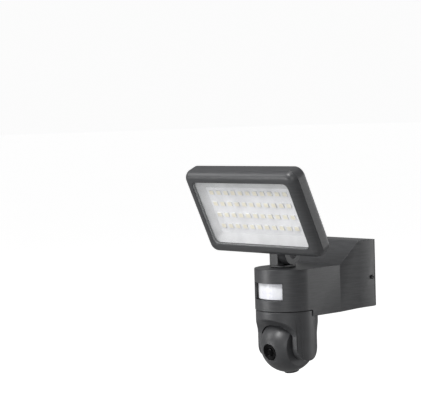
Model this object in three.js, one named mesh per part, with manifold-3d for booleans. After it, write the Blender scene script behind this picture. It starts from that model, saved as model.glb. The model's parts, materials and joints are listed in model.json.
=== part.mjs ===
// Wall floodlight with a pan and tilt security camera.
//
// Millimetres, +Z up. The origin is the centre of the face that lies on the wall,
// +Y points into the wall, -Y points out into the garden and +X is to the right
// of somebody who stands in the garden and looks at the lamp.

import * as THREE from 'three';
import { mergeVertices } from 'three/addons/utils/BufferGeometryUtils.js';
import { ConvexGeometry } from 'three/addons/geometries/ConvexGeometry.js';
import Module from 'manifold-3d';

const wasm = await Module();
wasm.setup();

// ---------------------------------------------------------------- driving dimensions

const GAP = 0.3;                       // air between two pieces that touch on the real object
const WALL = 2.5;                      // wall thickness of the cast housing

const BOX_HALF_WIDTH = 44;             // wall box
const BOX_HALF_HEIGHT = 40.3;
const BOX_BACK = -1.8;                 // the rim stands on the wall gasket
const BOX_FRONT = -29;

const ARM_START = -54.7;               // where the tapered shoulder meets the arm
const ARM_TOP = 13.3;
const ARM_BOTTOM = -42.7;

const BODY_RADIUS = 37;                // round end of the arm, and half the arm's width
const AXIS_Y = -108.6;                 // vertical axis shared by the body, the fork and the bracket
const SEAM_Z = -35.3;                  // underside of the round body
const SWEEP_RADIUS = 37.5;             // room cut in the arm for the turning fork

const FORK_RADIUS = 36.5;              // camera fork
const FORK_TOP = -35.9;
const FORK_CEILING = -45.3;
const FORK_BORE = 29.5;
const FORK_CHEEK_X = 25;               // inner face of each cheek
const CHEEK_HALF_WIDTH = 17.2;
const CHEEK_END = 15.8;                // cheek length below the tilt axis
const NECK_RADIUS = 17;
const NECK_BORE = 9;

const BALL_RADIUS = 32.2;              // camera ball
const BALL_FLAT_X = 22;
const BALL_WALL = 2.2;
const BALL_Z = -78.3;                  // tilt axis of the camera
const BALL_SPLIT_Y = 11;               // plane where the front and rear shells meet
const CAMERA_REST_TILT = 10.6;         // degrees below level
const LENS_RADIUS = 9.7;
const COVER_RADIUS = 9;
const TRUNNION_RADIUS = 5;

const LAMP_Y = -166.2;                 // centre of the lamp window
const LAMP_Z = 77.9;
const LAMP_REST_TILT = 24.9;           // degrees below level
const LAMP_HALF_WIDTH = 91.4;
const LAMP_HALF_HEIGHT = 54.2;
const LAMP_CORNER = 11.5;
const LAMP_BACK = 22.8;                // depth of the rear housing behind the window
const LAMP_BACK_ROUND = 4.6;           // rounding of its rear edge
const LAMP_BACK_WALL = 2.8;
const FIN_BACK = 25.3;
const WINDOW_HALF_WIDTH = 79;
const WINDOW_HALF_HEIGHT = 41.1;
const WINDOW_CORNER = 7;
const BEZEL_BACK = 8.1;
const BEZEL_ROUND = 9.5;               // radius of the bezel's section
const GLASS_FRONT = 0.6;
const GLASS_THICK = 2.5;
const LED_COLUMNS = 11;
const LED_ROWS = 4;
const LED_PITCH_X = 12.1;
const LED_PITCH_Z = 14.7;
const LED_CENTRE_Z = 1.5;
const LED_FLOOR = 10;                  // front face of the LED board

const PIVOT_Z = 29.6;                  // tilt axis of the lamp, above the body axis
const KNUCKLE_RADIUS = 12.7;
const LUG_LEFT = 0.25;                 // lamp lug, on the right of the bracket's post
const LUG_RIGHT = 12.6;
const POST_LEFT = -13.9;
const POST_RIGHT = -0.3;
const BASE_RIGHT = 7.6;                // right end of the bracket's base plate
const BRACKET_BOTTOM = ARM_TOP + 0.4;

const PIR_TOP = -2.8;                  // motion sensor window
const PIR_BOTTOM = -22.3;
const PIR_HALF_ANGLE = 38;             // degrees either side of straight ahead
const PIR_LENS_RADIUS = 32.5;

const SIDE_SCREW_Y = -7.1;
const SIDE_SCREW_Z = -4.9;
const SPEAKER_Y = -61.2;               // loudspeaker over its holes in the arm's underside
const SIDE_SHANK_RADIUS = 1.7;
const PLATE_HALF_WIDTH = 39.2;         // wall plate
const PLATE_HALF_HEIGHT = 34;
const PLATE_THICK = 2.5;
const EAR_X = [38.9, 41.2];            // lugs of the wall plate that take the side screws
const SLOT_X = 24;                     // wall screw slots, from the plate's middle
const SLOT_Z = 26;
const SLOT_HALF_LENGTH = 5;
const SLOT_HALF_HEIGHT = 2.4;
const CABLE_Z = -20;                   // cable entry in the wall plate
const CABLE_HOLE_RADIUS = 8;
const BOARD_THICK = 1.6;               // circuit boards
const SOLDER = 0.1;                    // how far a joined piece reaches into its neighbour

const PAN_MODULE = 1.25;               // gear train that turns the fork
const PAN_GEAR_TEETH = 36;
const PAN_PINION_TEETH = 12;
const PAN_GEAR_BOTTOM = -30;
const PAN_GEAR_TOP = -25.6;
const PAN_PINION_Y = AXIS_Y + PAN_MODULE * (PAN_GEAR_TEETH + PAN_PINION_TEETH) / 2;

const TILT_MODULE = 1;                 // gear train that tilts the ball
const TILT_GEAR_TEETH = 20;
const TILT_PINION_TEETH = 10;
const TILT_GEAR_X = [10.6, 14.6];
const TILT_PINION_OFFSET = TILT_MODULE * (TILT_GEAR_TEETH + TILT_PINION_TEETH) / 2;
const TILT_PINION_ANGLE = 43;          // degrees above the horizontal, behind the tilt axis

const CHEEK_POCKET_HALF = 12;          // hollow of a cheek, behind its lid
const CHEEK_POCKET_TOP = -54;
const CHEEK_POCKET_X = 31;
const CHEEK_LID_THICK = 2;
const TRUNNION_BORE = 2.5;
const TRUNNION_FLANGE = 7;
const TRUNNION_END = 30;
const TILT_GEAR_SEAT = 3.6;            // stub of the right pivot that carries the fixed gear

const SWIVEL_RADIUS = 6;               // hollow stud that holds the bracket
const TILT_BOLT_RADIUS = 3;
const TILT_WASHER_RADIUS = 8;
const TILT_NUT_RADIUS = 5.6;
const TILT_NUT_DEPTH = 5;

const GLASS_LIP = 3;                   // how far the glass reaches behind the bezel
const GLASS_CORNER = WINDOW_CORNER + 1.7;
const LAMP_SKIN = 3;
const WELD = 0.4;                      // how far a boss or post reaches into the lamp's rear wall
const BOSS_RADIUS = 4.4;               // bosses of the bezel screws
const POST_RADIUS = 3.4;               // posts that press on the heat spreader
const POST_X = 60;
const LUG_ROOT_Z = [-42, -12];         // where the lug stands on the rear wall
const BOARD_HALF_WIDTH = 73;           // LED board
const BOARD_HALF_HEIGHT = 35;
const LED_HALF_WIDTH = 2.5;            // LED package
const LED_HALF_HEIGHT = 2.2;
const LED_RISE = 0.9;
const SPREADER_BACK = 3.4;             // rear face of the heat spreader behind the board's front
const FIN_PITCH = 12;
const FIN_HALF = 1.2;
const FIN_HALF_LENGTH = 36;
const FIN_LAST_X = 60;
const SCREW_X = 84;                    // bezel screws
const SCREW_Z = 46.8;
const SCREW_RADIUS = 1.5;
const SCREW_HEAD_RADIUS = 3;
const SCREW_HEAD_Y = 19.6;

const THROUGH = [-60, 60];             // span of a cutting tool that goes right through

const PRESSURE_ANGLE = THREE.MathUtils.degToRad(25);
const BACKLASH = 0.14;

// ---------------------------------------------------------------- materials

function plastic(color, roughness = 0.5) {
  return new THREE.MeshStandardMaterial({ color, roughness, metalness: 0 });
}

function metal(color, roughness = 0.35) {
  return new THREE.MeshStandardMaterial({ color, roughness, metalness: 1 });
}

const ANTHRACITE_PAINT = plastic(0x46474a, 0.45);
const ANTHRACITE_PLASTIC = plastic(0x424346, 0.5);
const BLACK_PLASTIC = plastic(0x1b1b1d, 0.5);
const BLACK_RUBBER = plastic(0x202021, 0.85);
const LENS_GLASS = plastic(0x07080a, 0.06);
const CLEAR_GLASS = new THREE.MeshStandardMaterial({
  color: 0xdfe8ea, roughness: 0.05, metalness: 0, transparent: true, opacity: 0.35,
});
const SENSOR_LENS = plastic(0xe9ebf6, 0.35);
const WHITE_REFLECTOR = plastic(0xe6e6e4, 0.4);
const WHITE_BOARD = plastic(0xe9e6da, 0.45);
const GREEN_BOARD = plastic(0x1f5a3a, 0.5);
const STEEL = metal(0x9a9da0);
const ZINC_STEEL = metal(0xb9bcbd, 0.4);
const BARE_ALUMINIUM = metal(0xc6c8ca, 0.4);
const NYLON_GEAR = plastic(0xe4e1d6, 0.5);
const GREY_TERMINAL = plastic(0xbfc2c2, 0.5);

// ---------------------------------------------------------------- solids

// A closed three.js geometry as a manifold solid whose faces point out.
function solid(source) {
  const bare = source.index ? source.clone() : mergeVertices(source.clone());
  bare.deleteAttribute('normal');
  bare.deleteAttribute('uv');
  const merged = mergeVertices(bare, 1e-4);
  const places = merged.attributes.position.array;
  const index = merged.index.array;
  const triangles = [];
  let volume = 0;
  const a = new THREE.Vector3();
  const b = new THREE.Vector3();
  const c = new THREE.Vector3();
  for (let i = 0; i < index.length; i += 3) {
    const [p, q, r] = [index[i], index[i + 1], index[i + 2]];
    if (p === q || q === r || r === p) continue;
    a.fromArray(places, 3 * p);
    b.fromArray(places, 3 * q);
    c.fromArray(places, 3 * r);
    volume += a.dot(b.cross(c));
    triangles.push(p, q, r);
  }
  if (volume < 0) triangles.reverse();
  return new wasm.Manifold(new wasm.Mesh({
    numProp: 3,
    vertProperties: new Float32Array(places),
    triVerts: new Uint32Array(triangles),
  }));
}

function join(...pieces) {
  return pieces.reduce((whole, piece) => whole.add(piece));
}

function cut(whole, ...tools) {
  return tools.reduce((rest, tool) => rest.subtract(tool), whole);
}

// The solid as a three.js geometry with flat faces.
function geometryOf(manifold) {
  const mesh = manifold.getMesh();
  const geometry = new THREE.BufferGeometry();
  const places = new Float32Array(mesh.numVert * 3);
  for (let i = 0; i < mesh.numVert; i++) {
    for (let k = 0; k < 3; k++) places[3 * i + k] = mesh.vertProperties[mesh.numProp * i + k];
  }
  geometry.setAttribute('position', new THREE.BufferAttribute(places, 3));
  geometry.setIndex(new THREE.BufferAttribute(new Uint32Array(mesh.triVerts), 1));
  geometry.computeVertexNormals();
  return geometry;
}

const X = new THREE.Vector3(1, 0, 0);
const Y = new THREE.Vector3(0, 1, 0);
const Z = new THREE.Vector3(0, 0, 1);

function block([x0, x1], [y0, y1], [z0, z1]) {
  const geometry = new THREE.BoxGeometry(x1 - x0, y1 - y0, z1 - z0);
  geometry.translate((x0 + x1) / 2, (y0 + y1) / 2, (z0 + z1) / 2);
  return solid(geometry);
}

function segmentsFor(radius) {
  return Math.min(48, 2 * Math.round(0.6 * radius + 5));
}

// A round bar along x, y or z, between two places on that axis, round a centre
// given by the other two coordinates in x, y, z order.
function bar(axis, radius, [from, to], [u, v], segments = segmentsFor(radius)) {
  const geometry = new THREE.CylinderGeometry(radius, radius, to - from, segments);
  geometry.rotateY(Math.PI / segments);
  const middle = (from + to) / 2;
  if (axis === 'x') geometry.rotateZ(-Math.PI / 2).translate(middle, u, v);
  if (axis === 'y') geometry.translate(u, middle, v);
  if (axis === 'z') geometry.rotateX(Math.PI / 2).translate(u, v, middle);
  return solid(geometry);
}

// A body of revolution about z, from [radius, height] points.
function turned(profile, segments = 36) {
  const points = profile.map(([radius, height]) => new THREE.Vector2(radius, height));
  points.push(points[0].clone());
  return solid(new THREE.LatheGeometry(points, segments).rotateX(Math.PI / 2));
}

// An outline drawn in two axes and pushed along the third.
function slab(axis, outline, [from, to], curveSegments = 4) {
  const shape = outline instanceof THREE.Shape ? outline : shapeOf(outline);
  const geometry = new THREE.ExtrudeGeometry(shape, {
    depth: to - from, bevelEnabled: false, curveSegments,
  });
  geometry.translate(0, 0, from);
  const [u, v, depth] = { x: [Y, Z, X], y: [X, Z, Y], z: [X, Y, Z] }[axis];
  geometry.applyMatrix4(new THREE.Matrix4().makeBasis(u, v, depth));
  return solid(geometry);
}

function shapeOf(points) {
  return new THREE.Shape(points.map(([u, v]) => new THREE.Vector2(u, v)));
}

function roundedRectangle(halfWidth, halfHeight, corner) {
  const path = new THREE.Shape();
  const u = halfWidth - corner;
  const v = halfHeight - corner;
  path.moveTo(halfWidth, -v);
  path.absarc(u, v, corner, 0, Math.PI / 2);
  path.absarc(-u, v, corner, Math.PI / 2, Math.PI);
  path.absarc(-u, -v, corner, Math.PI, 1.5 * Math.PI);
  path.absarc(u, -v, corner, 1.5 * Math.PI, 2 * Math.PI);
  path.closePath();
  return path;
}

// A span of x on the right, or mirrored to the left.
function onSide(side, [near, far]) {
  return side < 0 ? [-far, -near] : [near, far];
}

// A flat rounded plate across y, half width along x and half height along z.
function plate(halfWidth, halfHeight, corner, depth) {
  return slab('y', roundedRectangle(halfWidth, halfHeight, corner), depth);
}

function hull(corners) {
  return solid(new ConvexGeometry(corners.map(([x, y, z]) => new THREE.Vector3(x, y, z))));
}

// A rounded plate across y whose outline shrinks by an inset at each depth.
function softPlate(halfWidth, halfHeight, corner, steps) {
  const corners = [];
  for (const [inset, y] of steps) {
    const outline = roundedRectangle(halfWidth - inset, halfHeight - inset, corner - inset);
    for (const { x, y: z } of outline.getPoints(4)) corners.push([x, y, z]);
  }
  return hull(corners);
}

// Insets and depths along an arc that starts flat across y and turns through an angle.
function arcSteps(radius, degrees, count) {
  const turn = THREE.MathUtils.degToRad(degrees);
  const steps = [];
  for (let step = 0; step <= count; step++) {
    const angle = turn * step / count;
    steps.push([radius * (Math.sin(turn) - Math.sin(angle)), radius * (1 - Math.cos(angle))]);
  }
  return steps;
}

// Eight corners of a block that changes size between two values of y.
function shoulder(from, to) {
  const corners = [];
  for (const { y, x, z } of [from, to]) {
    for (const height of z) corners.push([-x, y, height], [x, y, height]);
  }
  return hull(corners);
}

// A curved plate round the z axis at AXIS_Y, facing -y.
function curvedPlate([inner, outer], halfAngle, height) {
  const half = THREE.MathUtils.degToRad(halfAngle);
  const shape = new THREE.Shape();
  shape.absarc(0, AXIS_Y, outer, -Math.PI / 2 - half, -Math.PI / 2 + half);
  shape.absarc(0, AXIS_Y, inner, -Math.PI / 2 + half, -Math.PI / 2 - half, true);
  shape.closePath();
  return slab('z', shape, height, 10);
}

// ---------------------------------------------------------------- gears

// Outline of an involute gear about the origin, with a tooth on the +u axis when
// phase is 0 and a gap there when phase is half a tooth.
function gearOutline(teeth, module, phase = 0) {
  const pitch = module * teeth / 2;
  const base = pitch * Math.cos(PRESSURE_ANGLE);
  const tip = pitch + 0.75 * module;
  const root = pitch - 1.05 * module;
  const involute = (radius) => {
    const angle = Math.acos(Math.min(1, base / radius));
    return Math.tan(angle) - angle;
  };
  const halfTooth = (Math.PI * pitch / teeth - BACKLASH) / (2 * pitch);
  const halfAt = (radius) => halfTooth + involute(pitch) - involute(Math.max(radius, base));
  const flank = [root, pitch - 0.3 * module, pitch + 0.25 * module, tip];
  const points = [];
  for (let tooth = 0; tooth < teeth; tooth++) {
    const centre = 2 * Math.PI * (tooth + phase) / teeth;
    const sides = [
      ...flank.map((radius) => [radius, -halfAt(radius)]),
      ...flank.toReversed().map((radius) => [radius, halfAt(radius)]),
    ];
    for (const [radius, offset] of sides) {
      const angle = centre + offset;
      points.push([radius * Math.cos(angle), radius * Math.sin(angle)]);
    }
  }
  return points;
}

// ---------------------------------------------------------------- assembly helpers

const whole = new THREE.Group();

const camera = new THREE.Group();
camera.position.set(0, AXIS_Y, BALL_Z);
camera.rotation.x = THREE.MathUtils.degToRad(CAMERA_REST_TILT);
whole.add(camera);

const lamp = new THREE.Group();
lamp.position.set(0, LAMP_Y, LAMP_Z);
lamp.rotation.x = THREE.MathUtils.degToRad(LAMP_REST_TILT);
whole.add(lamp);

function add(name, shape, material, parent = whole) {
  const mesh = new THREE.Mesh(geometryOf(shape), material);
  mesh.name = name;
  parent.add(mesh);
  return mesh;
}

// ---------------------------------------------------------------- wall side

function wallPlate() {
  const height = [-PLATE_HALF_HEIGHT, PLATE_HALF_HEIGHT];
  let shape = block([-PLATE_HALF_WIDTH, PLATE_HALF_WIDTH], [-PLATE_THICK, 0], height);
  for (const side of [-1, 1]) {
    const screwHole = bar('x', SIDE_SHANK_RADIUS + GAP, onSide(side, [30, 50]),
      [SIDE_SCREW_Y, SIDE_SCREW_Z]);
    shape = shape.add(block(onSide(side, EAR_X), [-14, 0], [-14, 4])).subtract(screwHole);
    for (const z of [-SLOT_Z, SLOT_Z]) {
      const x = side * SLOT_X;
      shape = shape.subtract(block([x - SLOT_HALF_LENGTH, x + SLOT_HALF_LENGTH], [-5, 5],
        [z - SLOT_HALF_HEIGHT, z + SLOT_HALF_HEIGHT]));
    }
  }
  const cableHole = bar('y', CABLE_HOLE_RADIUS + GAP, [-5, 5], [0, CABLE_Z]);
  add('wall_plate', shape.subtract(cableHole), ZINC_STEEL);
}

function wallGasket() {
  const outer = block([-43.7, 43.7], [-1.5, 0], [-40, 40]);
  const inner = block([-41.8, 41.8], [-3, 3], [-38.1, 38.1]);
  add('wall_gasket', outer.subtract(inner), BLACK_RUBBER);
}

// Rubber bush in the wall plate that the house cable comes through.
function cableGrommet() {
  const [bore, waist, collar, lead] = [4, CABLE_HOLE_RADIUS, 10, 1.4];
  const profile = [
    [bore, -lead], [waist, -lead], [waist, lead + GAP], [collar, lead + GAP],
    [collar, 3.2], [6.2, 6], [bore, 6],
  ];
  const bush = new THREE.LatheGeometry(
    [...profile, profile[0]].map(([radius, depth]) => new THREE.Vector2(radius, depth)), 18);
  bush.rotateX(Math.PI);
  bush.translate(0, -lead, CABLE_Z);
  add('cable_grommet', solid(bush), BLACK_RUBBER);
}

function terminalBlock() {
  let shape = block([-17, 17], [-13, -2.8], [4, 16]);
  for (const x of [-11, 0, 11]) {
    shape = shape.subtract(bar('y', 2.3, [-20, -7], [x, 12]));
    shape = shape.subtract(block([x - 2.2, x + 2.2], [-9.5, -4.5], [0, 8]));
  }
  add('terminal_block', shape, GREY_TERMINAL);
}

function driverBoard() {
  const front = -26;
  const back = front + BOARD_THICK;
  const parts = [
    block([-37, 37], [front, back], [-30, 33]),
    block([-30, -8], [back - SOLDER, back + 8.5], [18, 32]),
    block([2, 14], [back - SOLDER, back + 9.5], [19, 31]),
    block([-34, -22], [back - SOLDER, back + 6], [-28, -18]),
    bar('y', 5, [back - SOLDER, back + 9], [25, 24]),
    bar('y', 4, [back - SOLDER, back + 8], [-30, 8]),
    block([20, 34], [back - SOLDER, back + 3], [-10, -2]),
  ];
  add('driver_board', join(...parts), GREEN_BOARD);
}

function sideScrews() {
  const head = [[0, 0], [2.5, 0], [2.5, 1], [1.9, 1.7], [0, 1.7]];
  for (const [name, side] of [['side_screw_left', -1], ['side_screw_right', 1]]) {
    const shank = bar('z', SIDE_SHANK_RADIUS, [-6, SOLDER], [0, 0]);
    const slots = [
      block([-1.6, 1.6], [-0.35, 0.35], [1, 3]),
      block([-0.35, 0.35], [-1.6, 1.6], [1, 3]),
    ];
    const screw = add(name, cut(join(turned(head, 14), shank), ...slots), STEEL);
    screw.rotation.y = side * Math.PI / 2;
    screw.position.set(side * (BOX_HALF_WIDTH + GAP), SIDE_SCREW_Y, SIDE_SCREW_Z);
  }
}

// ---------------------------------------------------------------- housing

function housingShell() {
  const inX = BODY_RADIUS - WALL;
  const inZ = [ARM_BOTTOM + WALL, ARM_TOP - WALL];
  const boxTop = BOX_HALF_HEIGHT;
  const lean = 0.8;                    // keeps the sloped walls as thick as the straight ones
  const outside = join(
    block([-BOX_HALF_WIDTH, BOX_HALF_WIDTH], [BOX_FRONT, BOX_BACK], [-boxTop, boxTop]),
    shoulder(
      { y: BOX_FRONT, x: BOX_HALF_WIDTH, z: [-boxTop, boxTop] },
      { y: ARM_START, x: BODY_RADIUS, z: [ARM_BOTTOM, ARM_TOP] }),
    block([-BODY_RADIUS, BODY_RADIUS], [AXIS_Y, ARM_START], [ARM_BOTTOM, ARM_TOP]),
    bar('z', BODY_RADIUS, [ARM_BOTTOM, ARM_TOP], [0, AXIS_Y]),
  );
  const boxHollow = { x: BOX_HALF_WIDTH - WALL, z: [-boxTop + WALL, boxTop - WALL] };
  const hollow = cut(
    join(
      block([-boxHollow.x, boxHollow.x], [BOX_FRONT + lean, 5], boxHollow.z),
      shoulder({ y: BOX_FRONT + lean, ...boxHollow }, { y: ARM_START + lean, x: inX, z: inZ }),
      block([-inX, inX], [AXIS_Y, ARM_START + lean], inZ),
      bar('z', inX, inZ, [0, AXIS_Y]),
    ),
    bar('z', SWEEP_RADIUS + WALL, [-60, SEAM_Z + WALL], [0, AXIS_Y]),
    bar('z', 14, [8, 30], [0, AXIS_Y]),
  );
  let shape = cut(
    outside,
    hollow,
    bar('z', SWEEP_RADIUS, [-60, SEAM_Z], [0, AXIS_Y]),
    bar('z', 31, [-40, -30], [0, AXIS_Y]),
    bar('z', SWIVEL_RADIUS + GAP, [5, 20], [0, AXIS_Y]),
    bar('z', 12.5, [ARM_TOP - 1.2, 20], [0, AXIS_Y]),
    curvedPlate([30, 45], PIR_HALF_ANGLE, [PIR_BOTTOM, PIR_TOP]),
    bar('x', SIDE_SHANK_RADIUS + GAP, THROUGH, [SIDE_SCREW_Y, SIDE_SCREW_Z]),
  );
  for (let row = -1; row <= 1; row++) {
    for (let column = -1; column <= 1; column++) {
      shape = shape.subtract(bar('z', 1, [-50, -35], [4 * column, SPEAKER_Y + 4 * row], 8));
    }
  }
  add('housing_shell', shape, ANTHRACITE_PAINT);
}

function mainBoard() {
  const top = 6;
  const bottom = top - BOARD_THICK;
  const parts = [
    block([-30, 30], [-92, -58], [bottom, top]),
    block([-20, -4], [-82, -66], [bottom - 2.4, bottom + SOLDER]),
    block([4, 24], [-76, -62], [bottom - 3.2, bottom + SOLDER]),
    block([8, 16], [-90, -80], [bottom - 5, bottom + SOLDER]),
    block([-26, -16], [-64, -59], [bottom - 6, bottom + SOLDER]),
  ];
  add('main_board', join(...parts), GREEN_BOARD);
}

function speaker() {
  const z = ARM_BOTTOM + WALL + GAP;
  const profile = [[0, 0], [7, 0], [7, 1.6], [4.6, 3.4], [4.6, 5], [0, 5]];
  const mesh = add('speaker', turned(profile, 18), BLACK_PLASTIC);
  mesh.position.set(0, SPEAKER_Y, z);
}

function antenna() {
  add('antenna', block([31.6, 33.4], [-98, -62], [-14, -7]), BLACK_PLASTIC);
}

// ---------------------------------------------------------------- motion sensor

function motionSensor() {
  const frameHeight = [PIR_BOTTOM - 3, PIR_TOP + 3];
  const frame = cut(
    curvedPlate([29.4, 34.2], PIR_HALF_ANGLE + 8, frameHeight),
    curvedPlate([28, 40], PIR_HALF_ANGLE, [PIR_BOTTOM, PIR_TOP]),
  );
  add('pir_frame', frame, BLACK_PLASTIC);
  add('pir_lens',
    curvedPlate([PIR_LENS_RADIUS - 1.3, PIR_LENS_RADIUS], PIR_HALF_ANGLE - 0.6,
      [PIR_BOTTOM + GAP, PIR_TOP - GAP]), SENSOR_LENS);
  const z = (PIR_TOP + PIR_BOTTOM) / 2;
  const can = bar('y', 4.1, [AXIS_Y - 11, AXIS_Y - 6.5], [0, z]);
  const flange = bar('y', 4.7, [AXIS_Y - 7.2, AXIS_Y - 6.3], [0, z]);
  add('pir_sensor', join(can, flange), STEEL);
  add('pir_board', block([-14, 14], [AXIS_Y - 6, AXIS_Y - 4.6], [z - 9, z + 8]), GREEN_BOARD);
}

// ---------------------------------------------------------------- pan drive

function panDrive() {
  const bearing = cut(
    join(
      bar('z', 30.7, [SEAM_Z + GAP, SEAM_Z + WALL + 1], [0, AXIS_Y]),
      bar('z', 33.6, [SEAM_Z + WALL + GAP, PAN_GEAR_BOTTOM - 0.5], [0, AXIS_Y]),
      block([-21, 21], [AXIS_Y + 10, AXIS_Y + 38], [SEAM_Z + WALL + GAP, PAN_GEAR_BOTTOM - 0.5]),
    ),
    bar('z', NECK_RADIUS + GAP, [-50, 0], [0, AXIS_Y]),
  );
  add('bearing_plate', bearing, BLACK_PLASTIC);

  const bracketTop = PAN_GEAR_TOP + 2;
  const bracket = cut(
    join(
      block([-20, 20], [PAN_PINION_Y - 7, PAN_PINION_Y + 7], [PAN_GEAR_TOP + 0.4, bracketTop]),
      block([-20, -16.5], [PAN_PINION_Y - 7, PAN_PINION_Y + 7], [PAN_GEAR_BOTTOM - 0.2, bracketTop]),
      block([16.5, 20], [PAN_PINION_Y - 7, PAN_PINION_Y + 7], [PAN_GEAR_BOTTOM - 0.2, bracketTop]),
    ),
    bar('z', 3, [-40, 0], [0, PAN_PINION_Y]),
  );
  add('motor_bracket', bracket, ZINC_STEEL);

  const motorBottom = bracketTop + GAP;
  const motor = join(
    bar('z', 10, [motorBottom, motorBottom + 17], [0, PAN_PINION_Y]),
    block([-14, 14], [PAN_PINION_Y - 3.5, PAN_PINION_Y + 3.5], [motorBottom, motorBottom + 1]),
    bar('z', 1.5, [PAN_GEAR_BOTTOM + 0.8, motorBottom + 0.1], [0, PAN_PINION_Y]),
  );
  add('pan_motor', motor, STEEL);

  const pinion = add('pan_pinion', cut(
    slab('z', gearOutline(PAN_PINION_TEETH, PAN_MODULE, 0.5), [PAN_GEAR_BOTTOM, PAN_GEAR_TOP]),
    bar('z', 1.5 + GAP, [-60, 0], [0, 0]),
  ), NYLON_GEAR);
  pinion.position.y = PAN_PINION_Y;
  pinion.rotation.z = -Math.PI / 2;

  const gear = add('pan_gear', cut(
    slab('z', gearOutline(PAN_GEAR_TEETH, PAN_MODULE), [PAN_GEAR_BOTTOM, PAN_GEAR_TOP]),
    bar('z', NECK_RADIUS + GAP, [-60, 0], [0, 0]),
  ), NYLON_GEAR);
  gear.position.y = AXIS_Y;
  gear.rotation.z = Math.PI / 2;

  const ring = bar('z', 20.5, [PAN_GEAR_TOP + 0.4, PAN_GEAR_TOP + 1.6], [0, AXIS_Y])
    .subtract(bar('z', 15 + GAP, [-60, 0], [0, AXIS_Y]))
    .subtract(block([-3, 3], [AXIS_Y - 30, AXIS_Y], [-60, 0]));
  add('pan_retaining_ring', ring, STEEL);
}

// ---------------------------------------------------------------- camera fork

// Half of the side outline that is cut away in front of and behind the cheeks, as
// [distance from the axis, height] points.
function cheekOutline() {
  const brow = new THREE.QuadraticBezierCurve(
    new THREE.Vector2(FORK_RADIUS + 0.6, FORK_CEILING + 0.6),
    new THREE.Vector2(18.5, -52),
    new THREE.Vector2(CHEEK_HALF_WIDTH, -65),
  ).getPoints(10).map((point) => [point.x, point.y]);
  const end = [];
  for (let step = 0; step <= 8; step++) {
    const angle = step / 8 * Math.PI / 2;
    end.push([CHEEK_HALF_WIDTH * Math.cos(angle), BALL_Z - CHEEK_END * Math.sin(angle)]);
  }
  return [...brow, ...end];
}

function sideCut(side) {
  const inner = cheekOutline();
  const outline = [...inner, [0, -110], [60, -110], [60, inner[0][1]]];
  return slab('x', outline.map(([distance, z]) => [AXIS_Y + side * distance, z]), [-60, 60]);
}

function cheekPocket(side) {
  const x = onSide(side, [FORK_CHEEK_X - 1, CHEEK_POCKET_X]);
  return join(
    block(x, [AXIS_Y - CHEEK_POCKET_HALF, AXIS_Y + CHEEK_POCKET_HALF], [BALL_Z, CHEEK_POCKET_TOP]),
    bar('x', CHEEK_POCKET_HALF, x, [AXIS_Y, BALL_Z]),
  );
}

function cameraFork() {
  const drum = cut(
    join(
      bar('z', FORK_RADIUS, [-97, FORK_TOP], [0, AXIS_Y]),
      bar('z', NECK_RADIUS, [FORK_TOP - 0.1, PAN_GEAR_TOP + 0.1], [0, AXIS_Y]),
      bar('z', 15, [FORK_TOP - 0.1, PAN_GEAR_TOP + 3], [0, AXIS_Y]),
    ),
    bar('z', FORK_BORE, [-110, FORK_CEILING], [0, AXIS_Y])
      .intersect(block([-FORK_CHEEK_X, FORK_CHEEK_X], [AXIS_Y - 50, AXIS_Y + 50], [-120, 0])),
    bar('z', NECK_BORE, [-60, 0], [0, AXIS_Y]),
    sideCut(-1),
    sideCut(1),
    cheekPocket(-1),
    cheekPocket(1),
  );
  add('camera_fork', drum, ANTHRACITE_PLASTIC);
}

// Lids of the hollow cheeks, with the pivots of the ball through them.
function cheekCovers() {
  const half = CHEEK_POCKET_HALF - GAP;
  const pivotHole = bar('x', TRUNNION_RADIUS + GAP, THROUGH, [AXIS_Y, BALL_Z]);
  for (const [name, side] of [['cheek_cover_left', -1], ['cheek_cover_right', 1]]) {
    const x = onSide(side, [FORK_CHEEK_X, FORK_CHEEK_X + CHEEK_LID_THICK]);
    const lid = join(
      block(x, [AXIS_Y - half, AXIS_Y + half], [BALL_Z, CHEEK_POCKET_TOP - GAP]),
      bar('x', half, x, [AXIS_Y, BALL_Z]),
    );
    add(name, lid.subtract(pivotHole), ANTHRACITE_PLASTIC);
  }
}

function trunnions() {
  const bore = bar('x', TRUNNION_BORE, THROUGH, [AXIS_Y, BALL_Z]);
  const flangeStart = FORK_CHEEK_X + CHEEK_LID_THICK + GAP;
  const left = join(
    bar('x', TRUNNION_RADIUS, [-TRUNNION_END, -15], [AXIS_Y, BALL_Z]),
    bar('x', TRUNNION_FLANGE, [-TRUNNION_END, -flangeStart], [AXIS_Y, BALL_Z]),
  );
  const right = join(
    bar('x', TRUNNION_RADIUS, [TILT_GEAR_X[1] + GAP, TRUNNION_END], [AXIS_Y, BALL_Z]),
    bar('x', TILT_GEAR_SEAT, [TILT_GEAR_X[0] - 0.6, 20], [AXIS_Y, BALL_Z]),
    bar('x', TRUNNION_FLANGE, [flangeStart, TRUNNION_END], [AXIS_Y, BALL_Z]),
  );
  add('trunnion_left', left.subtract(bore), STEEL);
  add('trunnion_right', right.subtract(bore), STEEL);
}

// ---------------------------------------------------------------- tilt drive

const PINION_Y = TILT_PINION_OFFSET * Math.cos(THREE.MathUtils.degToRad(TILT_PINION_ANGLE));
const PINION_Z = TILT_PINION_OFFSET * Math.sin(THREE.MathUtils.degToRad(TILT_PINION_ANGLE));

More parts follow.
